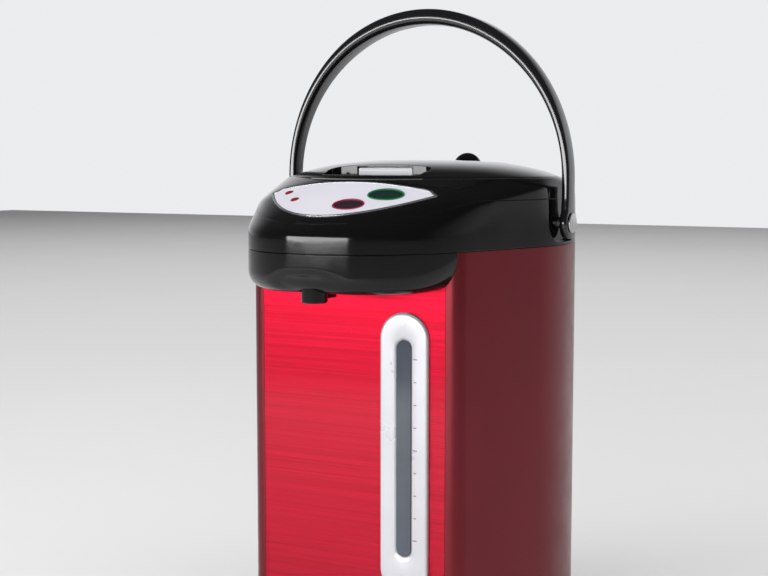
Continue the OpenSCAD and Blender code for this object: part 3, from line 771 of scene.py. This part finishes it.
# Bail ------------------------------------------------------------------------------
def bail():
    """One strap: disc feet on the pivots, straight legs and a half-oval arch."""
    in_w, out_w, in_h, out_h, spring = 107, 112.5, 109, 120, 335
    foot_r, half_w, swell, grip = 11, 7, 0.9, 3
    foot_steps, leg_steps, arch_steps = 12, 12, 96
    stations = []
    for k in range(1, foot_steps):
        t = math.pi / 2 * k / foot_steps
        z = PIVOT_Z - foot_r * math.cos(t)
        stations.append(((in_w, z), (out_w, z), foot_r * math.sin(t)))
    for k in range(leg_steps + 1):
        z = PIVOT_Z + (spring - PIVOT_Z) * k / leg_steps
        disc = math.sqrt(max(0, foot_r ** 2 - (z - PIVOT_Z) ** 2))
        blend = half_w + swell * math.exp(-((z - PIVOT_Z - 9) / 5) ** 2)
        stations.append(((in_w, z), (out_w, z), max(disc, blend if k else 0)))
    legs = stations[:-1]
    for k in range(1, arch_steps):
        t = math.pi * k / arch_steps
        inner = (in_w * math.cos(t), spring + in_h * math.sin(t))
        outer = (out_w * math.cos(t), spring + out_h * math.sin(t))
        stations.append((inner, outer, half_w + grip * min(1, math.sin(t) / 0.85) ** 2))
    stations += [((-i[0], i[1]), (-o[0], o[1]), w) for i, o, w in reversed(legs)]
    rings = []
    for (xi, zi), (xo, zo), half in stations:
        mid = Vector(((xi + xo) / 2, (zi + zo) / 2))
        across = Vector((xo - xi, zo - zi)) / 2
        thick = across.length
        section = rounded_box(half, thick, min(half, thick) * 0.8, steps=4)
        unit = across.normalized()
        rings.append([(mid.x + unit.x * b, a, mid.y + unit.y * b) for a, b in section])
    obj = skin_rings("bail_strap", rings, materials["bail_black"])
    place(obj, "bail", "bail_black", "bail", smooth=60)


def pins():
    """Domed pin heads on the pivots."""
    profile = ((4, 99.6), (4, 112.8), (6.7, 112.8), (7, 113.1), (6.8, 113.7), (5.8, 114.1),
               (3, 114.3), (0.1, 114.3))
    for s, side in ((1, "right"), (-1, "left")):
        rings = [[(s * x, y, z) for y, z in circle_points((0, PIVOT_Z), r, 40)]
                 for r, x in profile]
        obj = skin_rings("bail_pin_" + side, rings, materials["steel_small"])
        place(obj, "pot", "steel_small", "bail_pins")


# Body ------------------------------------------------------------------------------
def wrapped(section):
    """Rings of a section of (depth, height), carried round the body's outline."""
    return [[(p.x - n.x * d, p.y - n.y * d, z) for d, z in section] for p, n in body_outline()]


def side_skin():
    """The wrapped sheet with hemmed edges, open at the front panel and at the inlet."""
    hem, rows, top = 0.35, 12, SEAM_Z - JOINT_GAP
    section = [(hem, SKIN_Z), (0, SKIN_Z + hem)]
    section += [(0, SKIN_Z + (SEAM_Z - SKIN_Z) * k / rows) for k in range(1, rows)]
    section += [(0, SEAM_Z - hem), (hem, top), (SKIN_T, top), (SKIN_T, SKIN_Z)]
    obj = skin_rings("body_skin", wrapped(section), materials["maroon_skin"])
    inlet_half, inlet_low, inlet_top, inside_y, outside_y = 20, 31, 57, 60, 120
    inlet = [(-inlet_half, inside_y), (inlet_half, inside_y), (inlet_half, outside_y),
             (-inlet_half, outside_y)]
    carve(obj, prism_z(inlet, inlet_low, inlet_top))
    place(obj, "pot", "maroon_skin", "side_skin")


def base_ring():
    """The black skirt under the skin, with softened edges and a step inside."""
    top = SKIN_Z - JOINT_GAP
    section = [(-0.5, 3), (-1, 3.5), (-1, 25.2), (-0.5, top), (3, top), (3, 12), (4, 12), (4, 3)]
    obj = skin_rings("base_skirt", wrapped(section), materials["black_plastic_matte"], wrap=True)
    place(obj, "pot", "black_plastic_matte", "base_ring")


def gauge():
    """The bezel: a domed rim that slopes in to the long window."""
    z0, z1, wz0, wz1 = 62, 250, 88.5, 232
    half, window = 17.25, 5.3
    depth = [(0, 0), (0, 1.9), (0.03, 2.5), (0.09, 2.9), (0.18, 3.0), (0.6, 2.95), (0.86, 2.7),
             (0.93, 2.3), (1, 1.4), (1, 0)]
    rings = []
    for t, out in depth:
        h = half + (window - half) * t
        low, high = z0 + (wz0 - z0) * t, z1 + (wz1 - z1) * t
        top = arc((GAUGE_X, high - h), h, 0, math.pi, 24)
        bottom = arc((GAUGE_X, low + h), h, math.pi, 2 * math.pi, 24)
        rings.append([(p.x, -FRONT_Y - out, p.y) for p, n in top + bottom])
    obj = skin_rings("gauge_surround", rings, materials["silver_plastic"], wrap=True)
    place(obj, "pot", "silver_plastic", "gauge_bezel")
    margin, beside, sunk, proud = 12, 8.6, 2.5, 3.04
    for i in range(GAUGE_MARKS):
        z = wz0 + margin + (wz1 - wz0 - 2 * margin) * i / (GAUGE_MARKS - 1)
        outline = rounded_box(1.6 if i % 4 == 0 else 1, 0.35, 0.2, 2)
        rings = [[(GAUGE_X + beside + x, -FRONT_Y - y, z + h) for x, h in outline]
                 for y in (sunk, proud)]
        tick = skin_rings(f"gauge_mark_{i + 1}", rings, materials["gray_plastic"])
        place(tick, "pot", "gray_plastic")


def spout():
    """The nozzle with a rolled mouth and its rear block."""
    z0, z1, bore, lip = 258.7, 275.7, 5, 0.6
    profile = [(bore, z0 + 0.5), (bore + 0.5, z0), (SPOUT_R - lip, z0), (SPOUT_R, z0 + lip),
               (SPOUT_R, z1), (bore, z1)]
    obj = lathe("spout_nozzle", profile, materials["gloss_black"], turns=64, at=(0, SPOUT_Y))
    place(obj, "pot", "gloss_black", "spout")
    half_d = 8.9
    section = rounded_box(6.4, half_d, 1.4)
    rings = [[(x * k, SPOUT_Y + half_d + y * k, z) for x, y in section]
             for z, k in ((261, 0.93), (261.5, 1), (271, 1))]
    block = skin_rings("spout_block", rings, materials["gloss_black"])
    place(block, "pot", "gloss_black", "spout")


# Scene -----------------------------------------------------------------------------
def repaint_nodes():
    """Gives every carried-over node the finish of its own slot in the record."""
    for name, obj in nodes.items():
        for index, slot in enumerate(obj.material_slots):
            key = slot.material.name.split(".")[0] if slot.material else ""
            if key in materials:
                obj.material_slots[index].material = materials[key]
            else:
                print("no finish for", name, key)


def camera():
    """The main view: from the front right, a little above level."""
    azimuth, pitch, distance = math.radians(28.21), math.radians(5.39), 1.01975
    right = Vector((math.cos(azimuth), math.sin(azimuth), 0))
    forward = Vector((-math.sin(azimuth) * math.cos(pitch), math.cos(azimuth) * math.cos(pitch),
                      -math.sin(pitch)))
    target = right * -0.0299 + Vector((0, 0, 0.25504))
    data = bpy.data.cameras.new("view")
    data.lens = 65.6
    data.sensor_width = 36
    data.clip_end = 50
    obj = bpy.data.objects.new("view", data)
    obj.location = target - forward * distance
    obj.rotation_euler = forward.to_track_quat("-Z", "Y").to_euler()
    bpy.context.scene.collection.objects.link(obj)
    bpy.context.scene.camera = obj


def softbox(name, location, target, size, power, mirrored=True):
    data = bpy.data.lights.new(name, "AREA")
    data.shape = "RECTANGLE"
    data.size, data.size_y = size
    data.energy = power
    obj = bpy.data.objects.new(name, data)
    obj.location = location
    aim = Vector(target) - Vector(location)
    obj.rotation_euler = aim.to_track_quat("-Z", "Y").to_euler()
    obj.visible_glossy = mirrored
    bpy.context.scene.collection.objects.link(obj)


def smooth_range(tree, value, from_min, from_max, to_min, to_max):
    """A smooth ramp of value, from one range to another."""
    ramp = tree.nodes.new("ShaderNodeMapRange")
    ramp.interpolation_type = "SMOOTHSTEP"
    limits = {"From Min": from_min, "From Max": from_max, "To Min": to_min, "To Max": to_max}
    for name, limit in limits.items():
        ramp.inputs[name].default_value = limit
    tree.links.new(value, ramp.inputs["Value"])
    return ramp.outputs["Result"]


def studio_world():
    """Pale where the camera sees it; for light and mirroring, bright only low behind the part."""
    dim, pale = 0.06, 0.86
    world = bpy.data.worlds.new("studio")
    bpy.context.scene.world = world
    world.use_nodes = True
    tree = world.node_tree
    where = tree.nodes.new("ShaderNodeTexCoord")
    split = tree.nodes.new("ShaderNodeSeparateXYZ")
    tree.links.new(where.outputs["Generated"], split.inputs["Vector"])
    behind = smooth_range(tree, split.outputs["Y"], -0.1, 0.9, 0, 1)
    low_down = smooth_range(tree, split.outputs["Z"], 0.2, 0.55, 0.9, 0)
    glow = tree.nodes.new("ShaderNodeMath")
    glow.operation = "MULTIPLY_ADD"
    glow.inputs[2].default_value = dim
    tree.links.new(behind, glow.inputs[0])
    tree.links.new(low_down, glow.inputs[1])
    path = tree.nodes.new("ShaderNodeLightPath")
    pick = tree.nodes.new("ShaderNodeMix")
    pick.inputs["B"].default_value = pale
    tree.links.new(path.outputs["Is Camera Ray"], pick.inputs["Factor"])
    tree.links.new(glow.outputs["Value"], pick.inputs["A"])
    background = tree.nodes["Background"]
    background.inputs["Color"].default_value = (0.97, 0.98, 1, 1)
    tree.links.new(pick.outputs["Result"], background.inputs["Strength"])


def studio():
    """Soft lamps, of which only the window mirrors in the gloss, and a pale floor."""
    studio_world()
    bpy.context.scene.view_settings.view_transform = "Standard"
    softbox("key", (-1.1, -1.6, 1.5), (0, 0, 0.2), (0.9, 0.9), 9, mirrored=False)
    softbox("side", (1.7, 0.1, 0.9), (0, 0, 0.25), (0.8, 1.4), 2.5, mirrored=False)
    softbox("top", (0, 0.5, 3.2), (0, 0.5, 0), (9, 9), 330, mirrored=False)
    softbox("window", (-0.34, -1.29, 0.33), (0, -0.15, 0.29), (1.6, 0.21), 14)
    mesh = bpy.data.meshes.new("floor")
    w = 6
    mesh.from_pydata([(-w, -w, 0), (w, -w, 0), (w, w, 0), (-w, w, 0)], [], [(0, 1, 2, 3)])
    floor = bpy.data.objects.new("floor", mesh)
    mesh.materials.append(finish_of("floor", (0.68, 0.68, 0.68), vary=0.01, rough=0.6, cloud=1))
    bpy.context.scene.collection.objects.link(floor)


camera()
studio()
repaint_nodes()
head()
chin()
control_panel()
buttons()
lid()
vent()
latch()
bail()
pins()
side_skin()
base_ring()
gauge()
spout()
